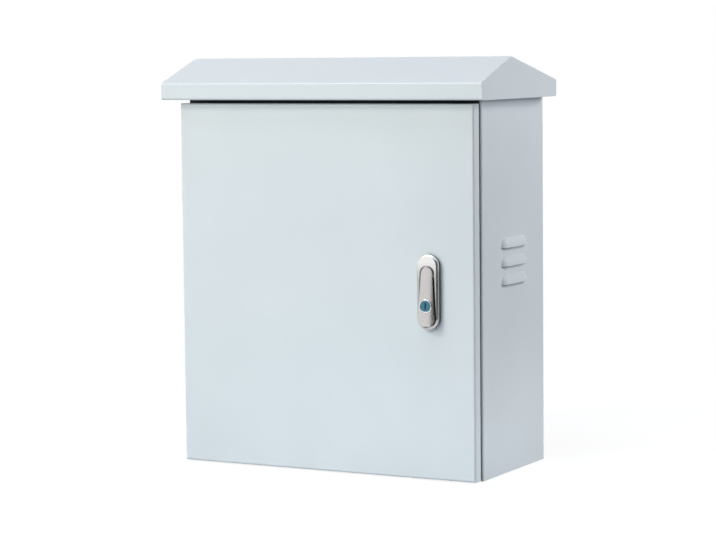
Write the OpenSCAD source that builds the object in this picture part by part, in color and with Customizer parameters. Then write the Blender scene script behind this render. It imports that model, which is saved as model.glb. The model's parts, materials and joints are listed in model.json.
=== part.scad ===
// Outdoor electrical cabinet for a wall: a folded sheet-steel body with pressed side louvres,
// a hinged overlay door with a pop-out handle lock, and a gabled rain hood bolted to the top.
// X runs to the right, Y from the door to the wall, Z up, all in millimetres.

/* [Cabinet] */
// Outside width of the body and the door
cabinet_w = 400; // [340:1:800]
// Depth from the front of the door to the wall
cabinet_d = 200; // [170:1:400]
// Height of the body under the hood
body_h = 450; // [400:1:1000]
// Thickness of the body, door and hood sheet
sheet = 1.2; // [1:0.1:1.5]
// Inside radius of the folds
fold_r = 1.3; // [0.8:0.1:2]

/* [Door frame] */
// Width of the front return round the opening
frame_w = 20; // [19:0.5:30]
// Height of the lip that meets the door seal
lip_h = 12; // [8:0.5:14]
// Width of the door seal
seal_w = 12; // [8:0.5:12]
// Gap between the seal and the lip
seal_gap = 0.3; // [0.1:0.1:0.5]

/* [Door] */
// Depth of the door's folded edge
door_depth = 16; // [16:0.5:24]
// Gap between the door's edge and the body
door_gap = 5; // [2:0.1:6]
// Width of the inward return behind the door's edge
door_return = 8; // [5:0.5:10]
// Height of the door's lower edge over the base
door_lift = 1.5; // [1:0.1:5]
// Gap between the door and the hood
hood_gap = 4.5; // [3:0.1:10]

/* [Hinges] */
// Distance of the hinge axis from the door's edge
hinge_x = 6; // [5.8:0.1:6.5]
// Distance of the hinge axis behind the front of the door
hinge_y = 9.5; // [9:0.1:10]
// Distance of each hinge's middle from the door's end
hinge_end = 70; // [50:1:120]
// Radius of the hinge pins
hinge_pin_r = 2.5; // [2:0.1:3]
// Radius of the hinge barrels
barrel_r = 4.3; // [4:0.1:4.4]
// Height of the fixed hinge leaf
leaf_h = 30; // [20:1:50]
// Thickness of the fixed hinge leaf
leaf_t = 2.5; // [1.5:0.1:3]
// Height of each knuckle on the door
knuckle_h = 8; // [5:0.5:15]
// Thickness of the plate between the door's knuckles
hinge_plate_t = 2; // [1.5:0.1:2.5]
// Depth of the notch in the door's edge in front of the hinge axis
notch_front = 3; // [2:0.1:3.5]

/* [Rain hood] */
// Overhang in front of the door
hood_front = 15; // [10:0.5:40]
// Overhang at each side
hood_side = 17.5; // [8:0.5:40]
// Height of the upright fascia
fascia_h = 20; // [12:0.5:40]
// Height of the ridge over the fascia
hood_rise = 30; // [15:0.5:60]
// Distance of the ridge behind the hood's front
ridge_back = 82; // [50:1:140]
// Reach of the bottom flange over the body
hood_flange = 20; // [18:0.5:30]

/* [Louvres] */
// Louvres on each side
louvre_count = 3; // [1:1:6]
// Length of a louvre
louvre_l = 72; // [40:1:110]
// Height of a louvre
louvre_h = 12; // [8:0.5:16]
// Projection of a louvre
louvre_out = 5; // [4:0.5:7]
// Distance between louvres
louvre_pitch = 22; // [18:0.5:35]
// Height of the lowest slot over the base
louvre_z = 228; // [60:1:260]

/* [Lock] */
// Distance of the lock from the door's free edge
lock_inset = 58; // [52:0.5:70]
// Height of the handle's turning axis over the base
lock_z = 247; // [120:0.5:300]
// Width of the lock base
lock_w = 28; // [26:0.5:32]
// Reach of the lock base over the turning axis
lock_up = 22.5; // [20:0.5:30]
// Reach of the lock base under the turning axis
lock_down = 67; // [65:0.5:80]
// Height of the lock base's face over the door
lock_t = 8; // [7.5:0.1:9]
// Radius of the lock base's front edge
lock_round = 3; // [1:0.1:3.5]
// Thickness of the seal under the lock base
lock_seal_t = 0.8; // [0.5:0.1:1.2]
// Height of the seal's skirt round the lock base
skirt_t = 3.4; // [2:0.1:4]
// Width of the seal's skirt
skirt_w = 1.6; // [1:0.1:2.5]
// Depth of the round pocket in the lock base
pocket_t = 6; // [5.5:0.1:6.2]
// Gap round the handle's head in the pocket
pocket_gap = 2.2; // [1.6:0.1:2.6]
// Depth of the finger recess behind the handle
recess_t = 3; // [2:0.1:3.4]
// Gap between the handle's tail and the edge of the recess
recess_gap = 1.4; // [0.8:0.1:1.8]
// Radius of the lock spindle
spindle_r = 5; // [4:0.1:6]
// Wall of the sleeve round the spindle
sleeve_wall = 4; // [2.5:0.1:5]
// Side of the square that carries the cam
square_w = 7; // [5.5:0.1:7]
// Thickness of the latch cam
cam_t = 3; // [2:0.1:4]
// Reach of the latch cam from the spindle
cam_l = 48; // [44:0.5:52]
// Gap between the latch cam and the frame
cam_gap = 1.8; // [1:0.1:3]
// Thickness of the bracket behind the door
bracket_t = 2; // [1.5:0.1:3]

/* [Handle] */
// Radius of the handle's head
head_r = 7.4; // [7:0.1:8.4]
// Radius of the handle's tail
tail_r = 10.4; // [9:0.1:11]
// Reach of the handle under its turning axis
handle_l = 63; // [56:0.5:64]
// Height of the handle's front over the door at the head
head_t = 9.5; // [9.3:0.1:9.6]
// Height of the handle's front over the door at the tail
tail_t = 14.2; // [12:0.1:14.6]
// Radius of the crown across the handle
crown_r = 30; // [24:1:60]
// Radius of the handle's tail end, seen from the side
tail_round = 6; // [4:0.1:6.5]
// Gap between the handle and the lock base
handle_gap = 0.3; // [0.2:0.1:0.4]
// Distance of the lift pin over the turning axis
lift_up = 3; // [2.5:0.1:3.2]
// Radius of the lift pin
lift_pin_r = 1.5; // [1.2:0.1:1.7]
// Width of the spindle's tongue in the handle
tongue_w = 8; // [6:0.1:9]
// Greatest lift of the handle, in degrees
lift_angle = 30; // [20:1:30]

/* [Key] */
// Distance of the key plug under the turning axis
key_down = 38; // [32:0.5:42]
// Radius of the key plug
plug_r = 6.6; // [5:0.1:7]
// Wall of the sleeve round the key plug
key_wall = 1.4; // [1:0.1:1.8]
// Height of the key sleeve's rim over the door
key_t = 13.2; // [12:0.1:14]
// Width of the key slot
key_slot_w = 1.4; // [1:0.1:2]

/* [Inside] */
// Margin between the mounting plate and the body at each side
plate_side = 40; // [38:1:80]
// Margin between the mounting plate and the body above and below
plate_end = 40; // [38:1:80]
// Thickness of the mounting plate
plate_t = 1.5; // [1.2:0.1:3]
// Depth of the mounting plate's folded edges
plate_edge = 10; // [6:0.5:15]
// Distance of the mounting plate from the back wall
standoff = 25; // [18:0.5:35]
// Inset of the plate studs from the mounting plate's edges
stud_inset = 18; // [14:0.5:30]
// Radius of the plate studs
stud_r = 3; // [2.5:0.1:4]
// Distance of the wall holes from the body's sides
wall_hole_x = 25; // [15:0.5:30]
// Distance of the wall holes from the body's ends
wall_hole_z = 25; // [15:0.5:30]
// Radius of the wall holes
wall_hole_r = 4.5; // [3:0.1:6]

/* [Cable entry] */
// Width of the cut-out in the base
entry_w = 220; // [200:1:240]
// Depth of the cut-out in the base
entry_d = 70; // [56:1:80]
// Distance of the cut-out from the wall
entry_back = 30; // [26:1:40]
// Rim of the gland plate round the cut-out
gland_rim = 15; // [13:0.5:20]
// Thickness of the gland plate
gland_t = 1.5; // [1.2:0.1:3]
// Thickness of the gland plate's seal
gland_seal_t = 2; // [1.8:0.1:4]
// Distance between the cable grommets
grommet_pitch = 70; // [50:1:75]
// Radius of a grommet's bore
grommet_r = 10; // [6:0.5:12]
// Wall of a grommet at the plate
grommet_wall = 5; // [3:0.5:6]
// Width of a grommet's flanges
grommet_flange = 5; // [3:0.5:6]
// Height of a grommet's collar over the plate
grommet_h = 7; // [4:0.5:12]

/* [Fasteners] */
// Radius of the hood bolts
bolt_r = 3; // [2.5:0.1:4]
// Radius of the gland plate studs
gland_stud_r = 2.5; // [2:0.1:3]
// Radius of the earth stud
earth_r = 4; // [3:0.1:5]
// Height of the earth stud
earth_h = 18; // [15:0.5:20]
// Radius of the lock screws
screw_r = 2; // [1.5:0.1:2.2]
// Radius of the cam bolt
cam_bolt_r = 2.5; // [2:0.1:2.6]

/* [Hidden] */
$fn = 64;

// Colours of the finishes
paint = "#dbe5e8";
zinc = "#c3c7ca";
nickel = "#dcdad6";
key_blue = "#285f7d";
rubber = "#2a2c2e";
foam = "#3a3c3f";

// Clearances
running = 0.05;
seated = 0.02;
through = 0.4;
axial = 0.3;
past = 1;

// Fasteners, as multiples of the thread's radius
hex_k = 1.9;
nut_k = 1.6;
head_k = 1.3;
washer_k = 2.2;
stud_k = 2.3;
cam_bolt_k = 4;

// Body and door in depth, from the hood's front to the wall
total_d = hood_front + cabinet_d;
y_hood = -total_d / 2;
y_door = y_hood + hood_front;
y_wall = total_d / 2;
y_frame = y_door + door_depth + door_gap;
y_lip = y_frame - lip_h;
y_back = y_wall - sheet;
body_d = y_wall - y_frame;
x_side = cabinet_w / 2;
x_inner = x_side - sheet;
bend_r = fold_r + sheet;

// Door opening and door in height
door_z0 = door_lift;
door_z1 = body_h - hood_gap;
door_h = door_z1 - door_z0;
door_mid = (door_z0 + door_z1) / 2;
open_x = x_side - frame_w;
open_z0 = door_z0 + frame_w;
open_z1 = door_z1 - frame_w;
seal_t = y_lip - seal_gap - y_door - sheet;

// Hood in height
hood_w = cabinet_w + 2 * hood_side;
fascia_z = body_h + fascia_h;
ridge_z = fascia_z + hood_rise;
ridge_y = y_hood + ridge_back;

// Louvre section: a circle through the top line and the lip
louvre_r = (louvre_h * louvre_h + louvre_out * louvre_out) / (2 * louvre_out);
louvre_y = (y_frame + y_wall) / 2;

// Hinges
hinge_at = [-x_side + hinge_x, y_door + hinge_y];
hinge_zs = [door_z0 + hinge_end, door_z1 - hinge_end];
block_h = leaf_h + 2 * (axial + knuckle_h);
pin_head_t = 1.5;
pin_head_r = barrel_r - 2 * axial;

// Lock, in its own frame on the door: x right, y up, z out of the door
lock_x = x_side - lock_inset;
lock_mid_r = lock_w / 2;
core_r = lock_mid_r - skirt_w;
pocket_r = head_r + pocket_gap + running;
recess_r = tail_r + recess_gap;
floor_t = lock_t - pocket_t;
cam_z = -(door_depth + door_gap + sheet + cam_gap);
sleeve_end = cam_z + axial;
sleeve_r = spindle_r + running + sleeve_wall;
hub_t = 1.2;
hub_gap = 0.2;
hub_z = floor_t + hub_gap;
lift_over_hub = 2.2;
lift_z = hub_z + hub_t + lift_over_hub;
tongue_wall = 1.1;
tongue_r = lift_pin_r + tongue_wall;
boss_r = head_r - axial;
boss_z = hub_z + hub_t + axial;
handle_z = lock_t + handle_gap;
slot_w = tongue_w + axial;
slot_top = lift_z + tongue_r + through;
crown_slope = atan2(tail_t - head_t, head_r + handle_l - tail_round);
screw_top = 7;
screw_bottom = 12;
screw_ys = [lock_up - screw_top, -lock_down + screw_bottom];
screw_deep = 4;
bracket_inset = 2;
cam_root = 3;
cam_washer_r = 8;
cam_washer_t = 1.5;
key_r = plug_r + running + key_wall;
key_floor_z = handle_z + hub_gap;
key_floor_t = 0.8;
keeper_r = 4;
keeper_deep = 5;

// Inside
plate_w = cabinet_w - 2 * plate_side;
plate_h = body_h - 2 * plate_end;
plate_y = y_back - standoff;
stud_xs = [-1, 1] * (plate_w / 2 - stud_inset);
stud_zs = [plate_end + stud_inset, body_h - plate_end - stud_inset];
spacer_wall = 3;
entry_y = y_wall - entry_back - entry_d / 2;
gland_w = entry_w + 2 * gland_rim;
gland_d = entry_d + 2 * gland_rim;
gland_z = sheet + gland_seal_t;
gland_xs = [-1, 0, 1] * (entry_w + gland_rim) / 2;
gland_ys = [-1, 1] * (entry_d + gland_rim) / 2;
flange_t = 1.8;
bolt_xs = [-1, 1] * (x_inner - hood_flange / 2);
bolt_ys = [y_frame + 2 * frame_w, y_wall - 2 * frame_w];
earth_in = 20;
earth_back = 45;
earth_at = [-open_x + earth_in, y_frame + earth_back];
earth_washer_t = 1.2;
door_earth_in = 40;
door_earth_at = [-open_x + door_earth_in, y_door + sheet, open_z0 + door_earth_in];
door_earth_r = 3;
door_earth_h = 14;

// Direction of the sheet after point i of a path, and the angle it folds through there
function heading(path, i) = (path[i + 1] - path[i]) / norm(path[i + 1] - path[i]);
function fold_at(path, i) = let(a = heading(path, i - 1), b = heading(path, i))
    atan2(a.x * b.y - a.y * b.x, a * b);
function setback(path, i, r) = i == 0 || i == len(path) - 1 ? 0 : r * tan(abs(fold_at(path, i)) / 2);

// Section of a sheet of thickness t whose middle follows a path, with inside radius r at each fold
module folded(path, t, r) {
    mid = r + t / 2;
    last = len(path) - 1;
    for (i = [0:last - 1]) {
        d = heading(path, i);
        a = path[i] + d * setback(path, i, mid);
        b = path[i + 1] - d * setback(path, i + 1, mid);
        translate(a) rotate(atan2(d.y, d.x)) translate([0, -t / 2]) square([norm(b - a), t]);
    }
    for (i = [1:last - 1]) {
        d = heading(path, i - 1);
        angle = fold_at(path, i);
        inward = sign(angle) * [-d.y, d.x];
        centre = path[i] - d * setback(path, i, mid) + inward * mid;
        translate(centre) rotate(atan2(-inward.y, -inward.x)) bend(angle, t, r);
    }
}

// One fold's section, starting on the x axis
module bend(angle, t, r) {
    reach = 2 * (r + t);
    intersection() {
        difference() {
            circle(r + t);
            circle(r);
        }
        polygon([
            [0, 0], [reach, 0],
            reach * [cos(angle / 2), sin(angle / 2)],
            reach * [cos(angle), sin(angle)]
        ]);
    }
}

// Rectangle with round corners
module rounded(w, h, r) {
    square([w - 2 * r, h], center = true);
    square([w, h - 2 * r], center = true);
    for (x = [-1, 1], y = [-1, 1]) translate([x * (w / 2 - r), y * (h / 2 - r)]) circle(r);
}

// Block whose long edges are all rounded
module rounded_block(w, d, h, r) {
    intersection() {
        linear_extrude(h, center = true) rounded(w, d, r);
        along_x(w) rounded(d, h, r);
    }
}

// Outline round two circles, the second at a distance l below the first
module tapered(r1, r2, l) {
    circle(r1);
    translate([0, -l]) circle(r2);
    shank(r1, r2, l);
}

// The part of that outline between the two lines that touch both circles
module shank(r1, r2, l) {
    a = asin((r2 - r1) / l);
    polygon([
        r1 * [-cos(a), sin(a)], [0, -l] + r2 * [-cos(a), sin(a)],
        [0, -l] + r2 * [cos(a), sin(a)], r1 * [cos(a), sin(a)]
    ]);
}

// Extrusion along X of a section drawn in Y and Z
module along_x(l) {
    rotate([90, 0, 90]) linear_extrude(l, center = true) children();
}

// Extrusion towards the back of an outline drawn in X and Z
module backwards(l) {
    translate([0, l, 0]) rotate([90, 0, 0]) linear_extrude(l) children();
}

// The lock's own frame: the turning axis where it meets the door's face
module on_lock() {
    translate([lock_x, y_door, lock_z]) rotate([90, 0, 0]) children();
}

// Hexagon nut with a bore, and hexagon head
module nut(r) {
    difference() {
        cylinder(r = hex_k * r, h = nut_k * r, $fn = 6);
        translate([0, 0, -past]) cylinder(r = r + seated, h = nut_k * r + 2 * past);
    }
}
module hex_head(r) {
    cylinder(r = hex_k * r, h = head_k * r, $fn = 6);
}
module washer(r, t) {
    difference() {
        cylinder(r = washer_k * r, h = t);
        translate([0, 0, -past]) cylinder(r = r + through, h = t + 2 * past);
    }
}

// Both sides, back, front returns and upright lips, folded from one sheet
module body_wrap() {
    lip_x = open_x + sheet / 2;
    return_y = y_frame + sheet / 2;
    wall_x = x_side - sheet / 2;
    back_y = y_wall - sheet / 2;
    right = [[wall_x, back_y], [wall_x, return_y]];
    left = [[-wall_x, return_y], [-wall_x, back_y]];
    plain = concat([[-open_x, return_y]], left, right, [[open_x, return_y]]);
    lipped = concat(
        [[-lip_x, y_lip], [-lip_x, return_y]], left, right, [[lip_x, return_y], [lip_x, y_lip]]
    );
    lip_z0 = open_z0 - sheet;
    lip_z1 = open_z1 + sheet;
    color(paint) {
        difference() {
            union() {
                linear_extrude(lip_z0) folded(plain, sheet, fold_r);
                translate([0, 0, lip_z0]) linear_extrude(lip_z1 - lip_z0) folded(lipped, sheet, fold_r);
                translate([0, 0, lip_z1]) linear_extrude(body_h - lip_z1) folded(plain, sheet, fold_r);
            }
            each_louvre() louvre_form(louvre_r - sheet);
            for (x = [-1, 1] * (x_side - wall_hole_x), z = [wall_hole_z, body_h - wall_hole_z])
                translate([x, y_wall - sheet - past, z]) rotate([-90, 0, 0])
                    cylinder(r = wall_hole_r, h = sheet + 2 * past);
        }
        each_louvre() difference() {
            louvre_form(louvre_r);
            louvre_form(louvre_r - sheet);
        }
    }
}

// Place of each louvre's slot on the outer face of both sides
module each_louvre() {
    for (side = [0, 1], i = [0:louvre_count - 1])
        mirror([side, 0, 0]) translate([x_side, louvre_y, louvre_z + i * louvre_pitch]) children();
}

// Upper half of a round-ended pressing that stands out of the side, open at its lower edge
module louvre_form(r) {
    run = louvre_l - 2 * louvre_h;
    intersection() {
        translate([louvre_out - louvre_r, 0, 0]) {
            rotate([90, 0, 0]) cylinder(r = r, h = run, center = true);
            for (y = [-1, 1]) translate([0, y * run / 2, 0]) sphere(r);
        }
        translate([-sheet, -louvre_l, 0]) cube([louvre_out + sheet + past, 2 * louvre_l, louvre_h + past]);
    }
}

// Flat end of the body with its front return and lip, drawn as the lower one
module end_plate(front_h) {
    lip_z = front_h - sheet / 2;
    return_y = y_frame + sheet / 2;
    flat_z = sheet / 2;
    along_x(2 * open_x)
        folded([[y_lip, lip_z], [return_y, lip_z], [return_y, flat_z], [y_back, flat_z]], sheet, fold_r);
    translate([0, (y_frame + sheet + y_back) / 2, 0])
        linear_extrude(sheet) rounded(2 * x_inner, y_back - y_frame - sheet, fold_r);
}

module top_plate() {
    color(paint) difference() {
        translate([0, 0, body_h]) mirror([0, 0, 1]) end_plate(body_h - open_z1);
        each_hood_bolt() translate([0, 0, -sheet - past])
            cylinder(r = bolt_r + through, h = sheet + 2 * past);
    }
}

module bottom_plate() {
    color(paint) difference() {
        end_plate(open_z0);
        translate([0, entry_y, -past]) linear_extrude(sheet + 2 * past) rounded(entry_w, entry_d, bend_r);
    }
}

// Roof, fascia and bottom flanges folded from one sheet, with welded gable ends
module rain_hood() {
    mid = sheet / 2;
    front_y = y_hood + mid;
    back_y = y_wall - mid;
    flange_z = body_h + mid;
    flange_y0 = y_frame + hood_flange;
    flange_y1 = y_wall - hood_flange;
    flange_x = hood_w / 2 - (hood_side + hood_flange);
    section = [
        [flange_y0, flange_z], [front_y, flange_z], [front_y, fascia_z], [ridge_y, ridge_z - mid],
        [back_y, fascia_z], [back_y, flange_z], [flange_y1, flange_z]
    ];
    gable = [
        [y_wall - mid, body_h + mid], [y_wall - mid, fascia_z], [ridge_y, ridge_z - mid],
        [y_hood + mid, fascia_z], [y_hood + mid, body_h + mid]
    ];
    color(paint) difference() {
        union() {
            along_x(hood_w) folded(section, sheet, fold_r);
            for (side = [-1, 1]) {
                translate([side * (hood_w / 2 - mid), 0, 0]) along_x(sheet) polygon(gable);
                translate([side * (hood_w / 2 + flange_x) / 2, (y_hood + y_wall) / 2, body_h + mid])
                    cube([hood_w / 2 - flange_x, total_d - 2 * bend_r, sheet], center = true);
            }
        }
        each_hood_bolt() translate([0, 0, -past]) cylinder(r = bolt_r + through, h = sheet + 2 * past);
    }
}

// Place of each hood bolt on top of the body
module each_hood_bolt() {
    for (x = bolt_xs, y = bolt_ys) translate([x, y, body_h]) children();
}

module hood_bolts() {
    color(zinc) each_hood_bolt() mirror([0, 0, 1]) {
        translate([0, 0, sheet]) hex_head(bolt_r);
        translate([0, 0, -sheet - stud_k * bolt_r]) cylinder(r = bolt_r, h = 2 * sheet + stud_k * bolt_r);
    }
}

module hood_nuts() {
    color(zinc) each_hood_bolt() translate([0, 0, sheet]) nut(bolt_r);
}

// Equipment plate with edges folded towards the wall
module mounting_plate() {
    edge_x = plate_w / 2 - plate_t / 2;
    face_y = plate_y - plate_t / 2;
    edge_y = plate_y - plate_t + plate_edge;
    path = [[-edge_x, edge_y], [-edge_x, face_y], [edge_x, face_y], [edge_x, edge_y]];
    color(zinc) difference() {
        translate([0, 0, plate_end]) linear_extrude(plate_h) folded(path, plate_t, fold_r);
        each_stud() translate([0, 0, standoff - past])
            cylinder(r = stud_r + through, h = plate_t + 2 * past);
    }
}

// Place of each plate stud on the inside of the back, pointing to the front
module each_stud() {
    for (x = stud_xs, z = stud_zs) translate([x, y_back, z]) rotate([90, 0, 0]) children();
}

module plate_studs() {
    color(zinc) each_stud() cylinder(r = stud_r, h = standoff + plate_t + stud_k * stud_r);
}

module plate_spacers() {
    color(zinc) each_stud() difference() {
        cylinder(r = stud_r + spacer_wall, h = standoff);
        translate([0, 0, -past]) cylinder(r = stud_r + seated, h = standoff + 2 * past);
    }
}

module plate_nuts() {
    color(zinc) each_stud() translate([0, 0, standoff + plate_t]) nut(stud_r);
}

// Place of each grommet's axis in the cable entry
module each_grommet() {
    for (i = [-1, 0, 1]) translate([i * grommet_pitch, entry_y, gland_z]) children();
}

// Place of each gland plate stud
module each_gland_stud() {
    for (x = gland_xs, y = gland_ys) translate([x, entry_y + y, sheet]) children();
}

module gland_plate() {
    color(paint) difference() {
        translate([0, entry_y, gland_z]) linear_extrude(gland_t) rounded(gland_w, gland_d, bend_r);
        each_gland_stud() cylinder(r = gland_stud_r + through, h = 2 * (gland_seal_t + gland_t));
        each_grommet() translate([0, 0, -past])
            cylinder(r = grommet_r + grommet_wall + seated, h = gland_t + 2 * past);
    }
}

module gland_seal() {
    color(rubber) difference() {
        translate([0, entry_y, sheet]) linear_extrude(gland_seal_t) difference() {
            rounded(gland_w, gland_d, bend_r);
            rounded(entry_w, entry_d, bend_r);
        }
        each_gland_stud() translate([0, 0, -past])
            cylinder(r = gland_stud_r + through, h = gland_seal_t + 2 * past);
    }
}

module gland_studs() {
    color(zinc) each_gland_stud()
        cylinder(r = gland_stud_r, h = gland_seal_t + gland_t + stud_k * gland_stud_r);
}

module gland_nuts() {
    color(zinc) each_gland_stud() translate([0, 0, gland_seal_t + gland_t]) nut(gland_stud_r);
}

// Rubber ring that grips the gland plate's edge, with a tapered collar above
module grommet(i) {
    wide = grommet_r + grommet_wall + grommet_flange;
    color(rubber) translate([i * grommet_pitch, entry_y, gland_z]) rotate_extrude() polygon([
        [grommet_r, -flange_t], [wide, -flange_t], [wide, 0], [grommet_r + grommet_wall, 0],
        [grommet_r + grommet_wall, gland_t], [wide, gland_t], [wide, gland_t + flange_t],
        [grommet_r + grommet_wall, gland_t + flange_t], [grommet_r + grommet_wall / 2, gland_t + grommet_h],
        [grommet_r, gland_t + grommet_h]
    ]);
}
module left_grommet() {
    grommet(-1);
}
module middle_grommet() {
    grommet(0);
}
module right_grommet() {
    grommet(1);
}

// Earth stud on the base, with a washer and two nuts
module earth_stud() {
    color(zinc) translate([earth_at.x, earth_at.y, sheet]) cylinder(r = earth_r, h = earth_h);
}
module earth_nuts() {
    color(zinc) translate([earth_at.x, earth_at.y, sheet]) {
        nut(earth_r);
        translate([0, 0, nut_k * earth_r + seated]) washer(earth_r, earth_washer_t);
        translate([0, 0, nut_k * earth_r + earth_washer_t + 2 * seated]) nut(earth_r);
    }
}

// Place of a hinge's axis, at the middle of its height
module at_hinge(i) {
    translate([hinge_at.x, hinge_at.y, hinge_zs[i]]) children();
}

// Fixed leaf: a barrel, an arm beside it and a foot on the frame
module hinge_leaf(i) {
    arm_x = barrel_r - leaf_t;
    arm_l = y_frame - hinge_at.y;
    foot_l = frame_w - sheet - fold_r - hinge_x - arm_x - seated;
    color(zinc) at_hinge(i) difference() {
        translate([0, 0, -leaf_h / 2]) linear_extrude(leaf_h) {
            circle(barrel_r);
            translate([arm_x, 0]) square([leaf_t, arm_l]);
            translate([arm_x, arm_l - leaf_t]) square([foot_l, leaf_t]);
        }
        cylinder(r = hinge_pin_r + running, h = leaf_h + 2 * past, center = true);
    }
}

// Clevis on the door's inner face: two knuckles and the plate between them
module hinge_block(i) {
    reach = hinge_y - sheet;
    edge_x = bend_r + seated - hinge_x;
    color(zinc) at_hinge(i) difference() {
        union() {
            for (side = [-1, 1]) translate([0, 0, side * (block_h - knuckle_h) / 2])
                linear_extrude(knuckle_h, center = true) {
                    circle(barrel_r);
                    translate([edge_x, -reach]) square([barrel_r - edge_x, reach]);
                }
            translate([edge_x, -reach, -block_h / 2]) cube([barrel_r - edge_x, hinge_plate_t, block_h]);
        }
        cylinder(r = hinge_pin_r + seated, h = block_h + 2 * past, center = true);
    }
}

module hinge_pin(i) {
    color(nickel) at_hinge(i) {
        translate([0, 0, -block_h / 2]) cylinder(r = hinge_pin_r, h = block_h);
        translate([0, 0, block_h / 2]) cylinder(r = pin_head_r, h = pin_head_t);
    }
}

module lower_hinge_leaf() {
    hinge_leaf(0);
}
module upper_hinge_leaf() {
    hinge_leaf(1);
}
module lower_hinge_block() {
    hinge_block(0);
}
module upper_hinge_block() {
    hinge_block(1);
}
module lower_hinge_pin() {
    hinge_pin(0);
}
module upper_hinge_pin() {
    hinge_pin(1);
}

// Tray folded from one sheet, with notches for the hinges and holes for the lock
module door_panel() {
    inner_d = door_depth - 2 * sheet;
    notch_y = hinge_y - notch_front;
    notch_h = leaf_h + 4 * axial;
    color(paint) difference() {
        translate([0, y_door + door_depth / 2, door_mid]) difference() {
            rounded_block(cabinet_w, door_depth, door_h, bend_r);
            rounded_block(cabinet_w - 2 * sheet, inner_d, door_h - 2 * sheet, fold_r);
            translate([0, door_depth / 2, 0])
                cube([cabinet_w - 2 * door_return, 2 * bend_r, door_h - 2 * door_return], center = true);
        }
        for (z = hinge_zs) translate([-x_side - past, y_door + notch_y, z - notch_h / 2])
            cube([door_return + 2 * past, door_depth, notch_h]);
        on_lock() {
            translate([0, 0, -sheet - past]) cylinder(r = sleeve_r + axial, h = sheet + 2 * past);
            each_lock_screw() translate([0, 0, -sheet - past])
                cylinder(r = screw_r + through, h = sheet + 2 * past);
        }
    }
}

// Foam seal bonded to the door's inner face, in line with the lip
module door_seal() {
    seal_w_mid = 2 * open_x + sheet;
    seal_h_mid = open_z1 - open_z0 + sheet;
    color(foam) translate([0, y_door + sheet, (open_z0 + open_z1) / 2]) backwards(seal_t) difference() {
        rounded(seal_w_mid + seal_w, seal_h_mid + seal_w, seal_w);
        rounded(seal_w_mid - seal_w, seal_h_mid - seal_w, fold_r);
    }
}

module door_earth_stud() {
    color(zinc) translate(door_earth_at) rotate([-90, 0, 0]) cylinder(r = door_earth_r, h = door_earth_h);
}
module door_earth_nuts() {
    color(zinc) translate(door_earth_at) rotate([-90, 0, 0]) {
        nut(door_earth_r);
        translate([0, 0, nut_k * door_earth_r + seated]) nut(door_earth_r);
    }
}

// Place of each screw behind the lock base
module each_lock_screw() {
    for (y = screw_ys) translate([0, y, 0]) children();
}

// Half section of the lock base, from its middle line to its rounded edge
module lock_half() {
    inner = lock_mid_r - lock_round;
    foot = skirt_t + seated;
    translate([0, lock_seal_t]) square([inner, lock_t - lock_seal_t]);
    translate([0, lock_seal_t]) square([core_r, lock_t - lock_round - lock_seal_t]);
    translate([0, foot]) square([lock_mid_r, lock_t - lock_round - foot]);
    translate([inner, lock_t - lock_round]) intersection() {
        circle(lock_round);
        square(lock_round);
    }
}

// Round-ended casting with the handle's pocket, a recess behind the handle and the spindle's sleeve
module lock_base() {
    top = lock_up - lock_mid_r;
    bottom = -lock_down + lock_mid_r;
    color(nickel) on_lock() difference() {
        union() {
            for (y = [top, bottom]) translate([0, y, 0]) rotate_extrude() lock_half();
            translate([0, top, 0]) rotate([90, 0, 0]) linear_extrude(top - bottom) {
                lock_half();
                mirror([1, 0]) lock_half();
            }
            translate([0, 0, sleeve_end]) cylinder(r = sleeve_r, h = lock_seal_t + past - sleeve_end);
        }
        translate([0, 0, floor_t]) cylinder(r = pocket_r, h = pocket_t + past);
        translate([0, 0, lock_t - recess_t]) linear_extrude(recess_t + past)
            tapered(pocket_r - axial, recess_r, handle_l - tail_r);
        translate([0, 0, sleeve_end - past])
            cylinder(r = spindle_r + running, h = floor_t - sleeve_end + 2 * past);
        translate([0, -key_down, lock_t - keeper_deep]) cylinder(r = keeper_r, h = keeper_deep + past);
        each_lock_screw() translate([0, 0, -past]) cylinder(r = screw_r + seated, h = screw_deep + past);
    }
}

// Rubber tray: a thin floor under the lock base and a skirt round its foot
module lock_seal() {
    length = lock_up + lock_down - lock_w;
    outer_r = lock_mid_r - axial;
    inner_r = core_r + seated;
    color(rubber) on_lock() difference() {
        translate([0, lock_up - lock_mid_r, 0]) linear_extrude(skirt_t) tapered(outer_r, outer_r, length);
        translate([0, lock_up - lock_mid_r, lock_seal_t]) linear_extrude(skirt_t)
            tapered(inner_r, inner_r, length);
        translate([0, 0, -past]) cylinder(r = sleeve_r + axial, h = lock_seal_t + 2 * past);
        each_lock_screw() translate([0, 0, -past])
            cylinder(r = screw_r + through, h = lock_seal_t + 2 * past);
    }
}

// Plate behind the door that the lock screws pull up
module lock_bracket() {
    narrow = lock_mid_r - bracket_inset;
    color(zinc) on_lock() translate([0, 0, -sheet - bracket_t]) difference() {
        translate([0, lock_up - lock_mid_r, 0]) linear_extrude(bracket_t)
            tapered(narrow, narrow, lock_up + lock_down - lock_w);
        translate([0, 0, -past]) cylinder(r = sleeve_r + axial, h = bracket_t + 2 * past);
        each_lock_screw() translate([0, 0, -past]) cylinder(r = screw_r + through, h = bracket_t + 2 * past);
    }
}

module lock_screws() {
    seat = sheet + bracket_t;
    color(zinc) on_lock() each_lock_screw() translate([0, 0, -seat]) {
        cylinder(r = screw_r, h = seat + screw_deep - axial);
        mirror([0, 0, 1]) cylinder(r = hex_k * screw_r, h = head_k * screw_r);
    }
}

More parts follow.
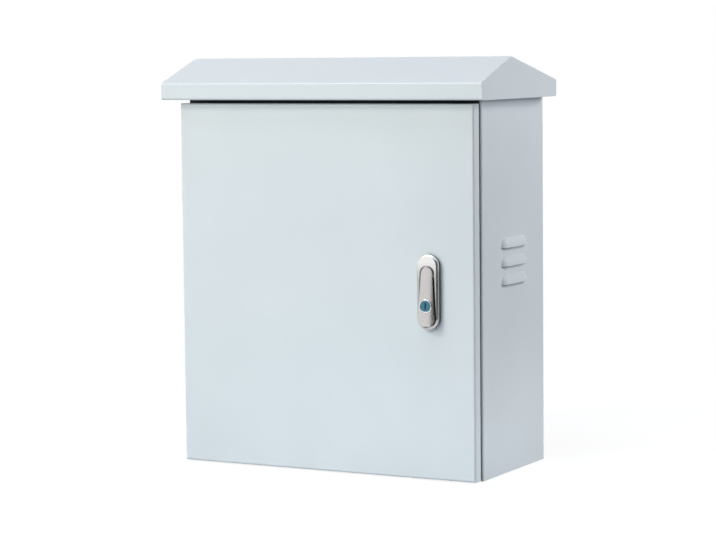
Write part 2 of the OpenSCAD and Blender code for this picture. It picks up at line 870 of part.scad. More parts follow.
// Hub and tongue in the pocket, round shaft in the sleeve, square at the back for the cam
module lock_spindle() {
    square_l = cam_t - through / 4;
    bolt_l = cam_bolt_k * cam_bolt_r;
    color(zinc) on_lock() difference() {
        union() {
            translate([0, 0, hub_z]) cylinder(r = pocket_r - 2 * axial, h = hub_t);
            translate([0, 0, cam_z]) cylinder(r = spindle_r, h = hub_z - cam_z + hub_t / 2);
            translate([-square_w / 2, -square_w / 2, cam_z - square_l])
                cube([square_w, square_w, square_l + past]);
            along_x(tongue_w) translate([lift_up, 0]) {
                translate([0, lift_z]) circle(tongue_r);
                translate([-tongue_r, hub_z]) square([2 * tongue_r, lift_z - hub_z]);
            }
        }
        translate([0, lift_up, lift_z]) rotate([0, 90, 0])
            cylinder(r = lift_pin_r + seated, h = tongue_w + 2 * past, center = true);
        translate([0, 0, cam_z - square_l - past]) cylinder(r = cam_bolt_r + seated, h = bolt_l + past);
    }
}

module latch_cam() {
    root_r = square_w + cam_root;
    tip_r = square_w;
    color(zinc) on_lock() translate([0, 0, cam_z - cam_t]) difference() {
        linear_extrude(cam_t) tapered(root_r, tip_r, cam_l - tip_r);
        translate([0, 0, cam_t / 2])
            cube([square_w + 2 * running, square_w + 2 * running, cam_t + 2 * past], center = true);
    }
}

module cam_washer() {
    color(zinc) on_lock() translate([0, 0, cam_z - cam_t - cam_washer_t]) difference() {
        cylinder(r = cam_washer_r, h = cam_washer_t);
        translate([0, 0, -past]) cylinder(r = cam_bolt_r + through, h = cam_washer_t + 2 * past);
    }
}

module cam_bolt() {
    seat = cam_z - cam_t - cam_washer_t;
    color(zinc) on_lock() translate([0, 0, seat]) {
        cylinder(r = cam_bolt_r, h = cam_bolt_k * cam_bolt_r);
        mirror([0, 0, 1]) hex_head(cam_bolt_r);
    }
}

module lift_pin() {
    length = 2 * sqrt(boss_r * boss_r - lift_up * lift_up) - 2 * axial;
    color(nickel) on_lock() translate([0, lift_up, lift_z]) rotate([0, 90, 0])
        cylinder(r = lift_pin_r, h = length, center = true);
}

// Tapered lever with a crowned front; its head turns and tips in the pocket
module lock_handle() {
    relief = 2 * pocket_r;
    color(nickel) on_lock() difference() {
        union() {
            intersection() {
                lever();
                along_x(3 * tail_r) handle_side();
            }
            translate([0, 0, boss_z]) cylinder(r = boss_r, h = handle_z + past / 2 - boss_z);
        }
        translate([-relief / 2, lift_up, lift_z]) rotate([lift_angle, 0, 0])
            translate([0, 0, -relief + boss_z - lift_z]) cube([relief, relief, relief]);
        translate([-slot_w / 2, lift_up - tongue_r - 1.5 * axial, boss_z - past])
            cube([slot_w, relief, slot_top - boss_z + past]);
        translate([0, lift_up, lift_z]) rotate([0, 90, 0])
            cylinder(r = lift_pin_r + running, h = relief, center = true);
        translate([0, -key_down, lock_t]) cylinder(r = key_r + seated, h = 2 * tail_t);
    }
}

// Head, shank and tail of the lever, each cut to the crown
module lever() {
    length = handle_l - tail_r;
    translate([0, 0, handle_z]) {
        crowned() cylinder(r = head_r, h = tail_t);
        crowned() linear_extrude(tail_t) shank(head_r - running, tail_r - running, length);
        crowned() translate([0, -length, 0]) cylinder(r = tail_r, h = tail_t);
    }
}

// What lies under the crown: a large cylinder that climbs from the head to the tail
module crowned() {
    intersection() {
        children();
        translate([0, head_r, head_t - handle_z]) rotate([90 - crown_slope, 0, 0])
            translate([0, -crown_r, -tail_r]) cylinder(r = crown_r, h = 2 * handle_l, $fn = 180);
    }
}

// The lever from the side: flat under, with a round tail
module handle_side() {
    high = tail_t + past / 2;
    tail_y = -handle_l + tail_round;
    translate([tail_y, high - tail_round]) circle(tail_round);
    translate([tail_y, 0]) square([handle_l + head_r + past, high]);
    translate([-handle_l, 0]) square([tail_round + past, high - tail_round]);
}

module key_sleeve() {
    color(nickel) on_lock() translate([0, -key_down, key_floor_z]) difference() {
        cylinder(r = key_r, h = key_t - key_floor_z);
        translate([0, 0, key_floor_t]) cylinder(r = plug_r + running, h = key_t);
        translate([0, 0, -past]) cylinder(r = plug_r - key_wall, h = key_floor_t + 2 * past);
    }
}

module key_plug() {
    foot = key_floor_z + key_floor_t + running;
    high = key_t - foot - axial;
    slot_l = 1.2 * plug_r;
    slot_deep = 0.8 * high;
    color(key_blue) on_lock() translate([0, -key_down, foot]) difference() {
        cylinder(r = plug_r, h = high);
        translate([-key_slot_w / 2, -slot_l / 2, high - slot_deep])
            cube([key_slot_w, slot_l, slot_deep + past]);
    }
}

body_wrap();
top_plate();
bottom_plate();
rain_hood();
hood_bolts();
hood_nuts();
mounting_plate();
plate_studs();
plate_spacers();
plate_nuts();
gland_plate();
gland_seal();
gland_studs();
gland_nuts();
left_grommet();
middle_grommet();
right_grommet();
earth_stud();
earth_nuts();
upper_hinge_leaf();
lower_hinge_leaf();
upper_hinge_block();
lower_hinge_block();
upper_hinge_pin();
lower_hinge_pin();
door_panel();
door_seal();
door_earth_stud();
door_earth_nuts();
lock_base();
lock_seal();
lock_bracket();
lock_screws();
lock_spindle();
latch_cam();
cam_washer();
cam_bolt();
lift_pin();
lock_handle();
key_sleeve();
key_plug();
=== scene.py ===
import json
import math
import bmesh
import bpy
import numpy as np
from mathutils import Matrix, Vector


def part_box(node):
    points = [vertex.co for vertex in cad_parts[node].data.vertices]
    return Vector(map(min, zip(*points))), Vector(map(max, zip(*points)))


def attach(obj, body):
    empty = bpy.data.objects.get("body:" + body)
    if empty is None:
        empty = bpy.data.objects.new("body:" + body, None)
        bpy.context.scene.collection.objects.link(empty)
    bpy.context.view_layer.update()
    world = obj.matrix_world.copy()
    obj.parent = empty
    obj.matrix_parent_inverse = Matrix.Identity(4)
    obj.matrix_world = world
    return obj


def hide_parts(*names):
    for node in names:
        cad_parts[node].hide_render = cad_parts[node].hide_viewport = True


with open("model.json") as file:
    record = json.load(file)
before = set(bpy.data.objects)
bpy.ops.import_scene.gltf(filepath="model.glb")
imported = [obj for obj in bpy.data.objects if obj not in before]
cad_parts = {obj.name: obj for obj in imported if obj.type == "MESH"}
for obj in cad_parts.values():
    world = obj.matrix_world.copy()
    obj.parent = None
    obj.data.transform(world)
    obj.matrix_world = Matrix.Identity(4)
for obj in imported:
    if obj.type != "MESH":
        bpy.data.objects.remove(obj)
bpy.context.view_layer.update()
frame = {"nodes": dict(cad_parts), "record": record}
cadNodes = frame["nodes"]

viewpoint = {
    "place": (1.40326, -2.63715, 0.50936),  # metres, in the cabinet's own frame
    "azimuth": 28.068,  # degrees round the cabinet from straight ahead
    "elevation": 5.189,  # degrees the view dips
    "roll": -0.582,
    "focal": 2426.6,  # pixels
    "imageWidth": 716,
    "sensor": 36,  # millimetres
    "farClip": 60,
}


def makeCamera(s):
    # the view runs along (-sin a cos e, cos a cos e, -sin e); right and up are turned about it by the roll
    a, e, roll = (math.radians(s[k]) for k in ("azimuth", "elevation", "roll"))
    ahead = Vector((-math.sin(a) * math.cos(e), math.cos(a) * math.cos(e), -math.sin(e)))
    level = Vector((math.cos(a), math.sin(a), 0))
    upright = level.cross(ahead)
    right = level * math.cos(roll) + upright * math.sin(roll)
    up = upright * math.cos(roll) - level * math.sin(roll)
    lens = bpy.data.cameras.new("photoCamera")
    lens.sensor_fit = "HORIZONTAL"
    lens.sensor_width = s["sensor"]
    lens.lens = s["focal"] / s["imageWidth"] * lens.sensor_width
    lens.clip_end = s["farClip"]
    camera = bpy.data.objects.new("photoCamera", lens)
    bpy.context.scene.collection.objects.link(camera)
    turn = Matrix((right, up, -ahead)).transposed().to_4x4()
    camera.matrix_world = Matrix.Translation(s["place"]) @ turn
    bpy.context.scene.camera = camera


makeCamera(viewpoint)

studio = {
    "worldFill": 0.08,  # light from all round, as the object sees it
    "boxes": {  # place, what it faces, width, height, watts, colour, and whether reflections see it
        "leftBox": ((-1.3, -3.4, 1.5), (0, -0.1, 0.25), 2.4, 1.4, 62, (1.0, 0.968, 0.87), False),
        "rightBox": ((1.9, 1.25, 1.2), (0.2, 0, 0.35), 1.4, 1.2, 46, (0.98, 0.98, 1.0), False),
        "topBox": ((-0.1, -0.7, 2.4), (0, 0, 0.4), 1.2, 0.8, 15.5, (0.70, 0.78, 1.0), True),
        "edgeBox": ((-1.36, -2.05, 2.15), (0, 0, 0.45), 0.8, 0.5, 35, (0.985, 0.98, 0.945), True),
        "lowLeft": ((-1.4, -0.9, 0.05), (-0.1, -0.1, 0.0), 1.0, 0.08, 2.6, (0.74, 0.87, 1.0), False),
        "frontGlow": ((0, -0.50, 0.015), (0, -0.09, 0.0), 0.6, 0.03, 0.46, (0.70, 0.85, 1.0), False),
        "hoodGlow": ((0.08, -0.46, 0.47), (0.08, -0.1, 0.46), 0.5, 0.03, 0.13, (0.97, 1.0, 0.99), False),
        "gableGlow": ((0.62, 0.0, 0.52), (0.2, 0, 0.48), 0.3, 0.03, 0.15, (0.98, 0.98, 1.0), False),
        "sideGlow": ((0.29, 0.02, 0.02), (0.2, 0.02, 0.01), 0.34, 0.03, 0.015, (0.70, 0.85, 1.0), True),
    },
    # dark cloth hung in an arc on the right, from and to in degrees from straight ahead
    "flag": {"radius": 1.25, "from": 8, "to": 165, "height": 1.2, "grey": 0.04, "points": 40},
    "worldTint": (0.97, 0.985, 1.0),
    "floorHalf": 14.0,
    "floorDrop": 0.0004,  # keeps the floor clear of the cabinet's base
    "floorBounce": (0.34, 0.35, 0.38),  # the floor's colour as the cabinet sees it
    "floorLit": 0.7,  # how bright the lamps make the floor beside the shadow
    "floorShade": 0.22,  # how much of the shadow the camera sees on the floor
    "floorFade": (0.35, 1.3),  # metres from the cabinet over which the floor goes to plain white
}


def seenDirectly(tree):
    # one for camera, glossy and transmission rays, which see the white ground
    path = tree.nodes.new("ShaderNodeLightPath")
    first = tree.nodes.new("ShaderNodeMath")
    second = tree.nodes.new("ShaderNodeMath")
    first.operation = second.operation = "MAXIMUM"
    tree.links.new(path.outputs["Is Camera Ray"], first.inputs[0])
    tree.links.new(path.outputs["Is Glossy Ray"], first.inputs[1])
    tree.links.new(first.outputs[0], second.inputs[0])
    tree.links.new(path.outputs["Is Transmission Ray"], second.inputs[1])
    return second.outputs[0]


def makeWorld(s):
    world = bpy.data.worlds.new("paleRoom")
    bpy.context.scene.world = world
    world.use_nodes = True
    tree = world.node_tree
    tree.nodes.clear()
    fill = tree.nodes.new("ShaderNodeBackground")
    fill.inputs["Color"].default_value = (*s["worldTint"], 1)
    fill.inputs["Strength"].default_value = s["worldFill"]
    white = tree.nodes.new("ShaderNodeBackground")
    white.inputs["Color"].default_value = (1, 1, 1, 1)
    white.inputs["Strength"].default_value = 1.0
    mix = tree.nodes.new("ShaderNodeMixShader")
    out = tree.nodes.new("ShaderNodeOutputWorld")
    tree.links.new(seenDirectly(tree), mix.inputs[0])
    tree.links.new(fill.outputs[0], mix.inputs[1])
    tree.links.new(white.outputs[0], mix.inputs[2])
    tree.links.new(mix.outputs[0], out.inputs["Surface"])


def hangLamps(s):
    for name, (place, aim, width, height, watts, colour, mirrored) in s["boxes"].items():
        lamp = bpy.data.lights.new(name, "AREA")
        lamp.shape = "RECTANGLE"
        lamp.size, lamp.size_y = width, height
        lamp.energy = watts
        lamp.color = colour
        rig = bpy.data.objects.new(name, lamp)
        bpy.context.scene.collection.objects.link(rig)
        rig.location = place
        rig.rotation_euler = (Vector(aim) - Vector(place)).to_track_quat("-Z", "Y").to_euler()
        rig.visible_camera = False
        rig.visible_glossy = mirrored


def hangFlag(s):
    # point = (radius sin a, -radius cos a, 0 or height); only reflections see the cloth
    count = s["points"]
    swing = np.radians(np.linspace(s["from"], s["to"], count))
    rim = np.stack([s["radius"] * np.sin(swing), -s["radius"] * np.cos(swing), 0 * swing], 1)
    points = np.concatenate([rim, rim + (0, 0, s["height"])])
    low = np.arange(count - 1)
    faces = np.stack([low, low + 1, low + 1 + count, low + count], 1)
    card = bpy.data.meshes.new("darkFlag")
    card.from_pydata(points.tolist(), [], faces.tolist())
    flag = bpy.data.objects.new("darkFlag", card)
    bpy.context.scene.collection.objects.link(flag)
    flag.visible_camera = flag.visible_shadow = flag.visible_diffuse = False
    cloth = bpy.data.materials.new("darkFlag")
    cloth.use_nodes = True
    cloth.node_tree.nodes["Principled BSDF"].inputs["Base Color"].default_value = (s["grey"],) * 3 + (1,)
    card.materials.append(cloth)
    return flag


def layFloor(s):
    # plain white to the camera, with part of the cabinet's shadow near its foot
    half = s["floorHalf"]
    mesh = bpy.data.meshes.new("studioFloor")
    corners = [(-half, -half, 0), (half, -half, 0), (half, half, 0), (-half, half, 0)]
    mesh.from_pydata(corners, [], [(0, 1, 2, 3)])
    floor = bpy.data.objects.new("studioFloor", mesh)
    bpy.context.scene.collection.objects.link(floor)
    floor.location.z = -s["floorDrop"]
    mat = bpy.data.materials.new("studioFloor")
    mat.use_nodes = True
    tree = mat.node_tree
    tree.nodes.clear()
    pale = tree.nodes.new("ShaderNodeBsdfDiffuse")
    pale.inputs["Color"].default_value = (*s["floorBounce"], 1)
    where = tree.nodes.new("ShaderNodeTexCoord")
    reach = tree.nodes.new("ShaderNodeVectorMath")
    reach.operation = "LENGTH"
    tree.links.new(where.outputs["Object"], reach.inputs[0])
    near = rangeNode(tree, reach.outputs["Value"], *s["floorFade"], s["floorShade"], 0.0)
    glow = tree.nodes.new("ShaderNodeEmission")
    lit = mathNode(tree, "MULTIPLY", near, s["floorLit"])
    tree.links.new(mathNode(tree, "SUBTRACT", 1.0, lit), glow.inputs["Strength"])
    shade = tree.nodes.new("ShaderNodeBsdfDiffuse")
    tree.links.new(near, shade.inputs["Color"])
    both = tree.nodes.new("ShaderNodeAddShader")
    mix = tree.nodes.new("ShaderNodeMixShader")
    out = tree.nodes.new("ShaderNodeOutputMaterial")
    tree.links.new(glow.outputs[0], both.inputs[0])
    tree.links.new(shade.outputs[0], both.inputs[1])
    tree.links.new(seenDirectly(tree), mix.inputs[0])
    tree.links.new(pale.outputs[0], mix.inputs[1])
    tree.links.new(both.outputs[0], mix.inputs[2])
    tree.links.new(mix.outputs[0], out.inputs["Surface"])
    mesh.materials.append(mat)
    return floor


def newGroup(name, inputs, outputs):
    group = bpy.data.node_groups.new(name, "ShaderNodeTree")
    for label, kind, value in inputs:
        socket = group.interface.new_socket(label, in_out="INPUT", socket_type="NodeSocket" + kind)
        if value is not None:
            socket.default_value = value
    for label, kind in outputs:
        group.interface.new_socket(label, in_out="OUTPUT", socket_type="NodeSocket" + kind)
    return group, group.nodes.new("NodeGroupInput"), group.nodes.new("NodeGroupOutput")


def noiseNode(tree, place, scale, detail=2.0, rough=0.5):
    node = tree.nodes.new("ShaderNodeTexNoise")
    node.inputs["Detail"].default_value = detail
    node.inputs["Roughness"].default_value = rough
    tree.links.new(place, node.inputs["Vector"])
    if isinstance(scale, (int, float)):
        node.inputs["Scale"].default_value = scale
    else:
        tree.links.new(scale, node.inputs["Scale"])
    return node.outputs[0]


def mathNode(tree, operation, first, second):
    node = tree.nodes.new("ShaderNodeMath")
    node.operation = operation
    for i, value in enumerate((first, second)):
        if isinstance(value, (int, float)):
            node.inputs[i].default_value = value
        else:
            tree.links.new(value, node.inputs[i])
    return node.outputs[0]


def rangeNode(tree, value, low, high, toLow, toHigh):
    node = tree.nodes.new("ShaderNodeMapRange")
    tree.links.new(value, node.inputs["Value"])
    for label, number in (("From Min", low), ("From Max", high), ("To Min", toLow), ("To Max", toHigh)):
        if isinstance(number, (int, float)):
            node.inputs[label].default_value = number
        else:
            tree.links.new(number, node.inputs[label])
    return node.outputs["Result"]


def mixColour(tree, amount, first, second):
    node = tree.nodes.new("ShaderNodeMix")
    node.data_type = "RGBA"
    tree.links.new(amount, node.inputs["Factor"])
    for socket, value in ((node.inputs["A"], first), (node.inputs["B"], second)):
        if isinstance(value, tuple):
            socket.default_value = value + (1,)
        else:
            tree.links.new(value, socket)
    return node.outputs["Result"]


bpy.context.scene.view_settings.view_transform = "Standard"
makeWorld(studio)
hangLamps(studio)
flag = hangFlag(studio["flag"])
floor = layFloor(studio)
print("camera and studio ready")

skinForm = {
    "peelScale": 520.0, "peelDetail": 1.5,
    "finer": 5.0, "grainDetail": 1.0, "grainShare": 0.25,  # grain is a finer noise laid over the peel
    "cloudScale": 9.0, "cloudDetail": 3.0,
}


def sprayedSkin(s):
    # fine rolling bumps of a sprayed coat, with slow changes of tone across a panel
    group, given, put = newGroup(
        "sprayedSkin",
        [("Place", "Vector", None), ("Peel Scale", "Float", s["peelScale"])],
        [("Height", "Float"), ("Cloud", "Float"), ("Grain", "Float")],
    )
    place, scale = given.outputs["Place"], given.outputs["Peel Scale"]
    peel = noiseNode(group, place, scale, s["peelDetail"])
    grain = noiseNode(group, place, mathNode(group, "MULTIPLY", scale, s["finer"]), s["grainDetail"])
    cloud = noiseNode(group, place, s["cloudScale"], s["cloudDetail"])
    height = mathNode(group, "ADD", peel, mathNode(group, "MULTIPLY", grain, s["grainShare"]))
    group.links.new(height, put.inputs["Height"])
    group.links.new(cloud, put.inputs["Cloud"])
    group.links.new(grain, put.inputs["Grain"])
    return group


dustForm = {
    "facing": (0.25, 0.95),  # upward part of the normal over which dust begins to lie
    "patchScale": 26.0, "patchDetail": 5.0, "patchRough": 0.6, "patchSpan": (0.35, 0.7), "least": 0.2,
    "amount": 0.3,
}


def settledDust(s):
    # a thin veil on what faces up, broken by noise
    group, given, put = newGroup(
        "settledDust", [("Place", "Vector", None), ("Amount", "Float", s["amount"])], [("Veil", "Float")]
    )
    facing = group.nodes.new("ShaderNodeTexCoord")
    split = group.nodes.new("ShaderNodeSeparateXYZ")
    group.links.new(facing.outputs["Normal"], split.inputs[0])
    upward = rangeNode(group, split.outputs["Z"], *s["facing"], 0.0, 1.0)
    noise = noiseNode(group, given.outputs["Place"], s["patchScale"], s["patchDetail"], s["patchRough"])
    patches = rangeNode(group, noise, *s["patchSpan"], s["least"], 1.0)
    veil = mathNode(group, "MULTIPLY", mathNode(group, "MULTIPLY", upward, patches), given.outputs["Amount"])
    group.links.new(veil, put.inputs["Veil"])
    return group


lineForm = {"scale": 900.0, "detail": 3.0, "rough": 0.6, "cloudScale": 60.0, "cloudDetail": 3.0}


def drawnLines(s):
    # long hairlines: noise squeezed across one direction and stretched along the other
    group, given, put = newGroup(
        "drawnLines",
        [("Place", "Vector", None), ("Stretch", "Vector", (1, 1, 1)), ("Line Scale", "Float", s["scale"])],
        [("Lines", "Float"), ("Cloud", "Float")],
    )
    scaled = group.nodes.new("ShaderNodeVectorMath")
    scaled.operation = "MULTIPLY"
    group.links.new(given.outputs["Place"], scaled.inputs[0])
    group.links.new(given.outputs["Stretch"], scaled.inputs[1])
    lines = noiseNode(group, scaled.outputs[0], given.outputs["Line Scale"], s["detail"], s["rough"])
    cloud = noiseNode(group, given.outputs["Place"], s["cloudScale"], s["cloudDetail"])
    group.links.new(lines, put.inputs["Lines"])
    group.links.new(cloud, put.inputs["Cloud"])
    return group


groups = {"skin": sprayedSkin(skinForm), "dust": settledDust(dustForm), "lines": drawnLines(lineForm)}


def startMaterial(name):
    mat = bpy.data.materials.new(name)
    mat.use_nodes = True
    tree = mat.node_tree
    tree.nodes.clear()
    shader = tree.nodes.new("ShaderNodeBsdfPrincipled")
    out = tree.nodes.new("ShaderNodeOutputMaterial")
    tree.links.new(shader.outputs["BSDF"], out.inputs["Surface"])
    place = tree.nodes.new("ShaderNodeTexCoord").outputs["Object"]
    return mat, tree, shader, place


def useGroup(tree, key, place, **values):
    node = tree.nodes.new("ShaderNodeGroup")
    node.node_tree = groups[key]
    tree.links.new(place, node.inputs["Place"])
    for label, value in values.items():
        node.inputs[label.replace("_", " ")].default_value = value
    return node.outputs


def addBump(tree, shader, height, strength, distance):
    bump = tree.nodes.new("ShaderNodeBump")
    bump.inputs["Strength"].default_value = strength
    bump.inputs["Distance"].default_value = distance
    tree.links.new(height, bump.inputs["Height"])
    tree.links.new(bump.outputs["Normal"], shader.inputs["Normal"])


noiseSpan = (0.3, 0.7)  # most of a noise lies between these
skinSpan = (0.4, 0.9)  # and most of the sprayed skin's height between these


def roughBand(tree, pattern, s):
    return rangeNode(tree, pattern, *noiseSpan, s["rough"] - s["roughSpread"], s["rough"] + s["roughSpread"])


def powderCoat(name, s):
    mat, tree, shader, place = startMaterial(name)
    skin = useGroup(tree, "skin", place, Peel_Scale=s["peelScale"])
    dust = useGroup(tree, "dust", place, Amount=s["dust"])
    tone = mixColour(tree, rangeNode(tree, skin["Cloud"], *noiseSpan, 0.0, 1.0), s["deep"], s["pale"])
    colour = mixColour(tree, dust["Veil"], tone, s["dustColour"])
    tree.links.new(colour, shader.inputs["Base Color"])
    rough = roughBand(tree, skin["Grain"], s)
    dulled = mathNode(tree, "ADD", rough, mathNode(tree, "MULTIPLY", dust["Veil"], s["dustRough"]))
    tree.links.new(dulled, shader.inputs["Roughness"])
    addBump(tree, shader, skin["Height"], s["peel"], s["peelDeep"])
    return mat


def platedMetal(name, s):
    mat, tree, shader, place = startMaterial(name)
    lines = useGroup(tree, "lines", place, Stretch=s["stretch"], Line_Scale=s["lineScale"])
    tone = mixColour(tree, rangeNode(tree, lines["Cloud"], *noiseSpan, 0.0, 1.0), s["cool"], s["warm"])
    if "paintedLightHeights" in s:  # painted highlight over these heights, painted shade below them
        split = tree.nodes.new("ShaderNodeSeparateXYZ")
        tree.links.new(place, split.inputs[0])
        tone = mixColour(tree, rangeNode(tree, split.outputs["Z"], *s["paintedLightHeights"], 0.0, 1.0), s["paintedShadeColour"], tone)
    tree.links.new(tone, shader.inputs["Base Color"])
    shader.inputs["Metallic"].default_value = 1.0
    tree.links.new(roughBand(tree, lines["Lines"], s), shader.inputs["Roughness"])
    addBump(tree, shader, lines["Lines"], s["grain"], s["grainDeep"])
    return mat


def mouldedBlack(name, s):
    mat, tree, shader, place = startMaterial(name)
    skin = useGroup(tree, "skin", place, Peel_Scale=s["poreScale"])
    dust = useGroup(tree, "dust", place, Amount=s["dust"])
    tone = mixColour(tree, rangeNode(tree, skin["Height"], *skinSpan, 0.0, 1.0), s["deep"], s["pale"])
    tree.links.new(mixColour(tree, dust["Veil"], tone, s["dustColour"]), shader.inputs["Base Color"])
    tree.links.new(roughBand(tree, skin["Cloud"], s), shader.inputs["Roughness"])
    addBump(tree, shader, skin["Height"], s["pores"], s["poreDeep"])
    return mat


def enamelBlue(name, s):
    mat, tree, shader, place = startMaterial(name)
    skin = useGroup(tree, "skin", place, Peel_Scale=s["grainScale"])
    tone = mixColour(tree, rangeNode(tree, skin["Height"], *skinSpan, 0.0, 1.0), s["deep"], s["pale"])
    tree.links.new(tone, shader.inputs["Base Color"])
    tree.links.new(roughBand(tree, skin["Grain"], s), shader.inputs["Roughness"])
    shader.inputs["Coat Weight"].default_value = s["coat"]
    addBump(tree, shader, skin["Height"], s["grain"], s["grainDeep"])
    return mat


paintCoat = {
    "deep": (0.640, 0.694, 0.717),
    "pale": (0.668, 0.720, 0.741),
    "dustColour": (0.69, 0.72, 0.75),
    "dust": 0.12,
    "dustRough": 0.3,
    "rough": 0.34,
    "roughSpread": 0.04,
    "peelScale": 620.0,
    "peel": 0.10,
    "peelDeep": 0.0002,
}
zincPlate = {
    "cool": (0.57, 0.59, 0.62), "warm": (0.615, 0.62, 0.61), "stretch": (1, 1, 1), "lineScale": 420.0,
    "rough": 0.36, "roughSpread": 0.07, "grain": 0.10, "grainDeep": 0.0001,
}
satinNickel = {
    "cool": (0.58, 0.575, 0.57), "warm": (0.62, 0.605, 0.59), "stretch": (1, 1, 0.06), "lineScale": 2600.0,
    "rough": 0.27, "roughSpread": 0.05, "grain": 0.06, "grainDeep": 0.0001,
}
# painted light: the lock base's copy of the satin nickel, lighter on top as a painted highlight and darker
# lower down as painted shade
paintedLightNickel = dict(
    satinNickel, cool=(0.84, 0.84, 0.835), warm=(0.88, 0.875, 0.865), rough=0.24, paintedLightHeights=(0.240, 0.260),
    paintedShadeColour=(0.51, 0.505, 0.50),
)
# painted highlight: a lighter, bluer copy of the satin nickel so that the key ring reads bright
ringNickelPaintedHighlight = dict(satinNickel, cool=(0.69, 0.71, 0.725), warm=(0.73, 0.74, 0.75), rough=0.24)
grommetRubber = {
    "deep": (0.018, 0.019, 0.020), "pale": (0.034, 0.035, 0.037), "dustColour": (0.3, 0.3, 0.29), "dust": 0.10,
    "rough": 0.62, "roughSpread": 0.06, "poreScale": 1500.0, "pores": 0.15, "poreDeep": 0.0004,
}
sealFoam = dict(
    grommetRubber, deep=(0.030, 0.032, 0.035), pale=(0.066, 0.070, 0.075), dust=0.05,
    rough=0.85, poreScale=2200.0, pores=0.6,
)
keyEnamel = {
    "deep": (0.022, 0.134, 0.196), "pale": (0.032, 0.174, 0.250), "rough": 0.31, "roughSpread": 0.05,
    "coat": 0.3, "grainScale": 1200.0, "grain": 0.15, "grainDeep": 0.0001,
}

finishes = {
    "paint": powderCoat("lightBluePowderCoat", paintCoat),
    "zinc": platedMetal("zincPlate", zincPlate),
    "nickel": platedMetal("satinNickel", satinNickel),
    "rubber": mouldedBlack("grommetRubber", grommetRubber),
    "foam": mouldedBlack("sealFoam", sealFoam),
    "key_blue": enamelBlue("blueKeyEnamel", keyEnamel),
}
for part in frame["record"]["subparts"]:
    slots = cadNodes[part["node"]].data.materials
    slots.clear()
    slots.append(finishes[part["material_slot"]])
# the lock base takes the nickel with the painted highlight and shade
cadNodes["lock_base"].data.materials[0] = platedMetal("paintedLightNickel", paintedLightNickel)
print("finishes:", ", ".join(finishes))


def gridFaces(rows, columns, wrapRows=False):
    # each quad joins a point to its next along the rows and the columns
    # columns run back to the first, and so do rows where asked
    i = np.arange(rows if wrapRows else rows - 1)[:, None]
    j = np.arange(columns)[None, :]
    here, below = i * columns, (i + 1) % rows * columns
    after = (j + 1) % columns
    return np.stack(np.broadcast_arrays(here + j, here + after, below + after, below + j), -1).reshape(-1, 4)


def turnedOutwards(points, faces):
    # six times a closed shell's volume is the sum of a . (b x c) over its triangles
    # below zero the shell is inside out
    a, b, c, d = (points[faces[:, k]] - points[0] for k in range(4))
    volume = (a * (np.cross(b, c) + np.cross(c, d))).sum()
    return faces if volume > 0 else faces[:, ::-1]


def makePiece(name, shells, body, slot, replaced=(), sharpAngle=38, mergeWithin=2e-6):
    # shells of (points, faces) become one mesh with its faces turned outwards
    starts = np.cumsum([0] + [len(points) for points, faces in shells[:-1]])
    points = np.concatenate([points for points, faces in shells])
    faces = np.concatenate([turnedOutwards(*shell) + start for shell, start in zip(shells, starts)])
    mesh = bpy.data.meshes.new(name)
    mesh.from_pydata(points.tolist(), [], faces.tolist())
    work = bmesh.new()
    work.from_mesh(mesh)
    bmesh.ops.remove_doubles(work, verts=work.verts, dist=mergeWithin)
    work.to_mesh(mesh)
    work.free()
    mesh.polygons.foreach_set("use_smooth", np.ones(len(mesh.polygons), bool))
    mesh.set_sharp_from_angle(angle=math.radians(sharpAngle))
    piece = bpy.data.objects.new(name, mesh)
    bpy.context.scene.collection.objects.link(piece)
    mesh.materials.append(finishes[slot])
    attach(piece, body)
    if replaced:
        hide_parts(*replaced)
    return piece


def softLoop(corners, radius, steps=5):
    # each corner of a closed outline becomes a curve (1-t)^2 a + 2t(1-t) corner + t^2 b
    # a and b lie one radius from the corner, or less on a short side
    most = 0.45  # share of a side that one corner may take
    c = np.asarray(corners, float)
    back, ahead = np.roll(c, 1, 0) - c, np.roll(c, -1, 0) - c
    lengths = [np.linalg.norm(v, axis=1, keepdims=True) for v in (back, ahead)]
    a = c + back / lengths[0] * np.minimum(radius, most * lengths[0])
    b = c + ahead / lengths[1] * np.minimum(radius, most * lengths[1])
    t = np.linspace(0, 1, steps)[None, :, None]
    return ((1 - t) ** 2 * a[:, None] + 2 * t * (1 - t) * c[:, None] + t**2 * b[:, None]).reshape(-1, 2)


def roundAbout(radius, height, angle, base, direction):
    # point = base + direction * height + radius * (cos angle, sin angle) in the plane across the direction
    d = np.asarray(direction, float)
    across = np.array((0.0, 1.0, 0.0)) if abs(d[0]) > 0.5 else np.array((1.0, 0.0, 0.0))
    other = np.cross(d, across)
    together = np.broadcast_arrays(radius, height, angle)
    radius, height, angle = (np.asarray(v, float)[..., None] for v in together)
    return np.asarray(base) + d * height + radius * (np.cos(angle) * across + np.sin(angle) * other)


def turnedShell(loop, base, direction, columns=48, closed=True):
    # an outline of (radius, height) turned once round the axis; an open one starts and ends on it
    angle = np.linspace(0, 2 * np.pi, columns, endpoint=False)[None, :]
    points = roundAbout(loop[:, :1], loop[:, 1:], angle, base, direction)
    return points.reshape(-1, 3), gridFaces(len(loop), columns, wrapRows=closed)


